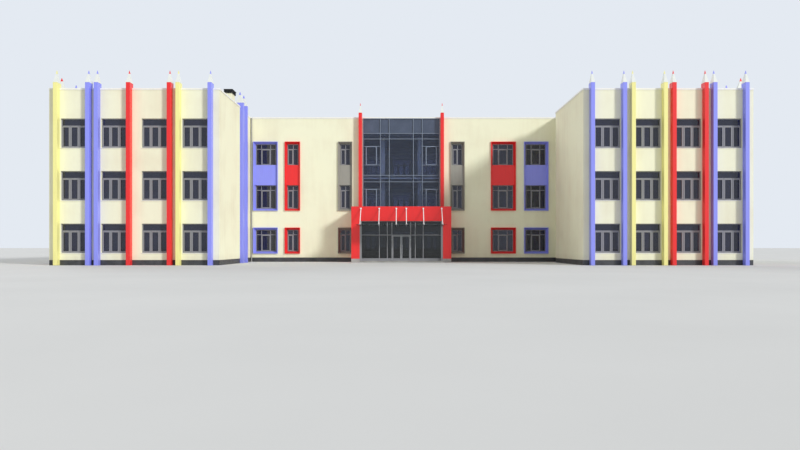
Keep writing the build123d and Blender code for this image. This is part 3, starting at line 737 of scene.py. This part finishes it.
threshold = {
    "nose": real(30),           # front edge, out from the screen
    "slope": real(8),
    "deep": real(150),
    "high": real(7),
    "seat": real(1),
    "ribs": 6,
    "firstRib": real(12),       # out from the screen
    "ribPitch": real(14),
    "groove": real(3),          # half its width, and its depth
}
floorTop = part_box("porch_floor")[1][2]
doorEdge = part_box("door_leaf_right")[1][0]
foot, top = floorTop - threshold["seat"], floorTop + threshold["high"]
nose, groove = screenFace + threshold["nose"], threshold["groove"]
flat = nose - threshold["slope"]
section = [(nose, foot), (flat, top)]
for rib in range(threshold["ribs"]):
    place = screenFace + threshold["firstRib"] - rib * threshold["ribPitch"]
    section += [(place, top), (place - groove, top - groove), (place - groove * 2, top)]
section += [(flat - threshold["deep"], top), (nose - threshold["deep"], foot)]
plate = bmesh.new()
addRun(plate, courtWall, section, -doorEdge, doorEdge)
addPiece("doorThreshold", plate, "building", finish["stainless"])
print("doors are fitted out")

# Canopy: clamping discs over the arms, forks and pins at the rods' ends, sealed joints between the sheets
canopyTrim = {
    "discPlaces": (0.11, 0.4, 0.94),   # from the portal's front
    "disc": real(34),
    "discOutline": ((1, -1), (1, 7), (0.8, 11), (0.32, 12), (0.3, 20), (0.2, 23)),
    "discSides": 18,
    "rodFoot": (0.7, 0.018),           # out from the portal's front, up from the glass
    "rodHead": (0.018, 2.17),          # out from the portal's front, up from the ground
    "sleeve": real(25),
    "sleeveOutline": ((0.5, 20), (1, 60), (1, 165), (0.85, 175), (0.74, 176)),
    "sleeveSides": 18,
    "pin": real(11),
    "pinOutline": ((0.7, -86), (1.3, -83), (1.3, -72), (1, -72), (1, 72), (1.3, 72), (1.3, 83), (0.7, 86)),
    "pinSides": 14,
    "sealWide": real(14),
    "sealProud": real(2),
    "sealGap": real(4),                # from the edges of the glass
    "sealChamfer": real(1),
    "soleSheet": 0.1,                  # a pair of arms this near the middle carries one sheet
}
sheetLow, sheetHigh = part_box("canopy_glass")
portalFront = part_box("portal_lintel")[0][1]
armLines = [(low[0] + high[0]) / 2 for low, high in solidsOf("canopy_arms")]
discs, forks, joints = bmesh.new(), bmesh.new(), bmesh.new()
for line in armLines:
    for place in canopyTrim["discPlaces"]:
        addTurned(discs, Matrix.Translation((line, portalFront - place, sheetHigh[2])),
                  turnedOutline(canopyTrim["disc"], canopyTrim["discOutline"]), canopyTrim["discSides"])
    foot = Vector((line, portalFront - canopyTrim["rodFoot"][0], sheetHigh[2] + canopyTrim["rodFoot"][1]))
    head = Vector((line, portalFront - canopyTrim["rodHead"][0], canopyTrim["rodHead"][1]))
    run = (head - foot).normalized()
    for end, direction in ((foot, run), (head, -run)):
        place = Matrix.Translation(end) @ direction.to_track_quat("Z", "Y").to_matrix().to_4x4()
        addTurned(forks, place, turnedOutline(canopyTrim["sleeve"], canopyTrim["sleeveOutline"]),
                  canopyTrim["sleeveSides"])
        across = Matrix.Translation(end) @ Matrix.Rotation(math.radians(90), 4, "Y")
        addTurned(discs, across, turnedOutline(canopyTrim["pin"], canopyTrim["pinOutline"]),
                  canopyTrim["pinSides"])
halfSeal, sealGap, sealProud = canopyTrim["sealWide"] / 2, canopyTrim["sealGap"], canopyTrim["sealProud"]
for line, following in zip(armLines[::2], armLines[1::2]):
    middle = (line + following) / 2
    if abs(middle) > canopyTrim["soleSheet"]:
        addBlock(joints, courtWall,
                 (middle - halfSeal, -sheetHigh[1] + sealGap, sheetLow[2] - sealProud),
                 (middle + halfSeal, -sheetLow[1] - sealGap, sheetHigh[2] + sealProud),
                 canopyTrim["sealChamfer"])
addPiece("canopyFixings", discs, "building", finish["stainless"], smooth=True)
addPiece("rodForks", forks, "building", finish["rod_paint"], smooth=True)
addPiece("canopySeals", joints, "building", rubber)
print("canopy is fitted out")

# Vent hood: sheet louvres round it and a folded lid
hood = {
    "blades": 5,
    "margin": real(15),     # over and under the blades
    "throw": real(26),
    "drop": 0.7,            # share of the pitch
    "sheet": real(5),
    "hem": 1.4,             # the blades' roots are this much thicker
    "seat": real(2),
    "lid": real(26),
    "lidOverhang": real(12),
    "lidChamfer": real(6),
}
hoodLow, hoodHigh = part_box("vent_hood")
louvres = bmesh.new()
middle, halfSize = (hoodLow + hoodHigh) / 2, (hoodHigh - hoodLow) / 2
pitch = (hoodHigh[2] - hoodLow[2] - hood["margin"] * 2) / hood["blades"]
for out in wallSides.values():
    wall = Matrix.Translation((middle[0], middle[1], 0)) @ facing(out)
    reach, halfRun = (halfSize[1], halfSize[0]) if out[1] else (halfSize[0], halfSize[1])
    root, tip = reach - hood["seat"], reach + hood["throw"]
    for blade in range(hood["blades"]):
        top = hoodLow[2] + hood["margin"] + pitch * (blade + 1)
        edge = top - pitch * hood["drop"]
        addRun(louvres, wall, [(root, top), (tip, edge), (tip, edge - hood["sheet"]),
                               (root, top - hood["sheet"] * hood["hem"])], -halfRun, halfRun)
lidReach = hood["throw"] + hood["lidOverhang"]
addBlock(louvres, Matrix.Identity(4),
         (hoodLow[0] - lidReach, hoodLow[1] - lidReach, hoodHigh[2] - hood["seat"]),
         (hoodHigh[0] + lidReach, hoodHigh[1] + lidReach, hoodHigh[2] + hood["lid"]), hood["lidChamfer"])
addPiece("hoodLouvres", louvres, "building", finish["dark_metal"])

# Downpipe: sockets where its lengths meet and a collar at the ground
pipeTrim = {
    "sockets": (1.42, 2.92, 4.42),
    "socketHeights": (0, 10, 100, 104, 124, 130, 130),  # real mm
    "thick": real(7),
    "rim": real(5),
    "snug": 0.98,           # share of the pipe's radius where a fitting closes on it
    "collar": real(30),
    "collarHeights": (1, 22, 34, 60, 84, 88),           # real mm
    "taper": 0.92,
    "neck": (real(8), real(6)),
    "sides": 28,
}
pipeLow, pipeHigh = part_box("downpipe")
pipeRadius = (pipeHigh[0] - pipeLow[0]) / 2
pipeX, pipeY = (pipeLow[0] + pipeHigh[0]) / 2, pipeLow[1] + pipeRadius
snug = pipeRadius * pipeTrim["snug"]
bead = pipeRadius + pipeTrim["thick"]
rim = bead + pipeTrim["rim"]
wide = pipeRadius + pipeTrim["collar"]
neckFoot, neckTop = (pipeRadius + step for step in pipeTrim["neck"])
socketRadii = (snug, bead, bead, rim, rim, bead, snug)
collarRadii = (wide, wide, wide * pipeTrim["taper"], neckFoot, neckTop, snug)
fittings = bmesh.new()
for level in pipeTrim["sockets"]:
    addTurned(fittings, Matrix.Translation((pipeX, pipeY, level)),
              [(radius, real(height)) for radius, height in zip(socketRadii, pipeTrim["socketHeights"])],
              pipeTrim["sides"])
addTurned(fittings, Matrix.Translation((pipeX, pipeY, 0)),
          [(radius, real(height)) for radius, height in zip(collarRadii, pipeTrim["collarHeights"])],
          pipeTrim["sides"])
addPiece("pipeFittings", fittings, "building", finish["pipe_metal"], smooth=True)
print("hood and downpipe are fitted out")

# Outline of the walls in plan: the court's walls step back from it on their way to the rear
plan = {
    "wing": 5.825,          # width of a wing
    "wall": 0.25,
    "leftStep": 3.035,      # from the front of the wings to the step in the court's left wall
    "leftSetback": 0.1,     # how far that wall steps back there
    "rightStep": 4.225,
    "rightSetback": 0.25,
}
front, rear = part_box("front_walls")[0][1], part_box("rear_wall")[1][1]
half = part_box("outer_walls")[1][0]
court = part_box("court_walls")[0][1]
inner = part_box("front_walls")[1][0] - plan["wing"]
courtLeft, leftStep = -inner - plan["leftSetback"], front + plan["leftStep"]
courtRight, rightStep = inner + plan["rightSetback"], front + plan["rightStep"]
wallLine = [
    (-half, front), (-inner, front), (-inner, leftStep), (courtLeft, leftStep), (courtLeft, court),
    (courtRight, court), (courtRight, rightStep), (inner, rightStep), (inner, front), (half, front),
    (half, rear), (-half, rear)]

# Copings: a folded sheet over every parapet, with cover straps at its joints
copingCap = {
    "overhang": real(26),
    "lip": real(95),
    "sheet": real(6),
    "rise": real(24),       # the outer edge stands higher, so that rain runs back to the roof
    "strapEvery": real(3000),
    "strap": real(90),
    "strapLift": real(5),
    "strapDrop": real(4),
}
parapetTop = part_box("parapet_coping")[1][2]
foot, outerTop = parapetTop - copingCap["lip"], parapetTop + copingCap["rise"]
sheet = copingCap["sheet"]
innerTop = parapetTop + sheet * 2
outside, inside = -copingCap["overhang"], plan["wall"] + copingCap["overhang"]  # from the walls' outline
caps = bmesh.new()
flatPlace = Matrix.Identity(4)
addLoop(caps, flatPlace, wallLine, [
    (outside, foot), (outside, outerTop), (inside, innerTop), (inside, foot), (inside - sheet, foot),
    (inside - sheet, parapetTop + sheet), (outside + sheet, parapetTop + sheet), (outside + sheet, foot)])
addPiece("copingCaps", caps, "building", finish["coping_metal"])

straps = bmesh.new()
lift, strapFoot = copingCap["strapLift"], foot - copingCap["strapDrop"]
section = [
    (-outside + lift, strapFoot), (-outside + lift, outerTop + lift), (-inside - lift, innerTop + lift),
    (-inside - lift, strapFoot), (-inside, strapFoot), (-inside, innerTop), (-outside, outerTop),
    (-outside, strapFoot)]
for n, corner in enumerate(wallLine):
    start, end = Vector(corner), Vector(wallLine[(n + 1) % len(wallLine)])
    length, direction = (end - start).length, (end - start).normalized()
    out = Vector((direction[1], -direction[0], 0))
    along = Matrix(((*direction, 0), out, (0, 0, 1))).transposed().to_4x4()
    along.translation = (*start, 0)
    count = int(length / copingCap["strapEvery"])
    for k in range(count):
        middle = length * (k + 0.5) / count
        addRun(straps, along, section, middle - copingCap["strap"] / 2, middle + copingCap["strap"] / 2)
addPiece("copingStraps", straps, "building", finish["coping_metal"])
print("copings are on")

# Roof: one welded covering over the slabs, turned up at the parapets under a flashing, with outlets
roofCover = {
    "thick": real(10),
    "seat": real(1),
    "edgeGap": real(2),     # between the covering and the parapets
    "upstand": real(300),
    "fillet": real(70),
    "apron": real(120),
    "lap": real(4),         # how far the upstand reaches into the covering
    "skin": real(2),        # the upstand's foot over the covering
    "outlet": real(150),
    "outletSeat": real(2),
    "outletOutline": ((1.25, 0), (1.25, 12), (1, 16), (0.62, 20), (0.6, 110), (0.35, 150), (0.08, 160)),
    "outletSides": 16,
    "outletPlaces": ((-9.2, -2.6), (-9.2, 2.9), (0.0, 2.9), (9.2, -2.6), (9.2, 2.9)),
}
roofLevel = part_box("roof_slab")[1][2]
thick, fillet, wall = roofCover["thick"], roofCover["fillet"], plan["wall"]
base, head = roofLevel + thick, roofLevel + roofCover["upstand"]
cover = bmesh.new()
corners = [insetCorner(wallLine, n, wall + roofCover["edgeGap"]) for n in range(len(wallLine))]
lower = [cover.verts.new((*corner, roofLevel + roofCover["seat"])) for corner in corners]
upper = [cover.verts.new((*corner, base)) for corner in corners]
cover.faces.new(list(reversed(lower)))
cover.faces.new(upper)
for n in range(len(corners)):
    m = (n + 1) % len(corners)
    cover.faces.new([lower[n], lower[m], upper[m], upper[n]])
near, apron, skin = wall + roofCover["seat"], wall + fillet + roofCover["apron"], base + roofCover["skin"]
addLoop(cover, flatPlace, wallLine, [
    (near, base - roofCover["lap"]), (near, head), (wall + thick, head), (wall + thick, base + fillet),
    (wall + fillet, skin), (apron, skin), (apron, base - roofCover["lap"])])
addPiece("roofCovering", cover, "building", finish["roofing"])

flashing = {"below": real(25), "above": real(20), "slope": real(6), "proud": real(4)}
bars = bmesh.new()
lip = wall + thick + flashing["proud"]
addLoop(bars, flatPlace, wallLine, [
    (near, head - flashing["below"]), (near, head + flashing["above"]),
    (lip, head + flashing["above"] - flashing["slope"]), (lip, head - flashing["below"])])
addPiece("roofFlashing", bars, "building", finish["coping_metal"])

outlets = bmesh.new()
for x, y in roofCover["outletPlaces"]:
    addTurned(outlets, Matrix.Translation((x, y, base - roofCover["outletSeat"])),
              turnedOutline(roofCover["outlet"], roofCover["outletOutline"]), roofCover["outletSides"])
addPiece("roofOutlets", outlets, "building", finish["dark_metal"], smooth=True)
print("roof is covered")

# Studio floor under the building
floorMesh = bmesh.new()
bmesh.ops.create_circle(floorMesh, cap_ends=True, radius=studio["floorRadius"],
                        segments=studio["floorSides"])
floorData = bpy.data.meshes.new("studioFloor")
floorMesh.to_mesh(floorData)
floorMesh.free()
floor = bpy.data.objects.new("studioFloor", floorData)
scene.collection.objects.link(floor)
floorFinish, floorTree, floorShader = newFinish("paleFloor", {"Roughness": 0.9, "Specular IOR Level": 0.1})
floorNoise = addNode(floorTree, "TexNoise", {"Scale": studio["floorPatchScale"], "Detail": 3},
                     {"Vector": addNode(floorTree, "TexCoord", {}).outputs["Object"]})
floorTone = addNode(floorTree, "ValToRGB", {
    "stops": [(0.3, linear(studio["floorColour"])), (0.7, linear(studio["floorPatches"]))]},
    {0: floorNoise.outputs[0]})
floorTree.links.new(floorTone.outputs[0], floorShader.inputs["Base Color"])
floorData.materials.append(floorFinish)
print("floor is laid")
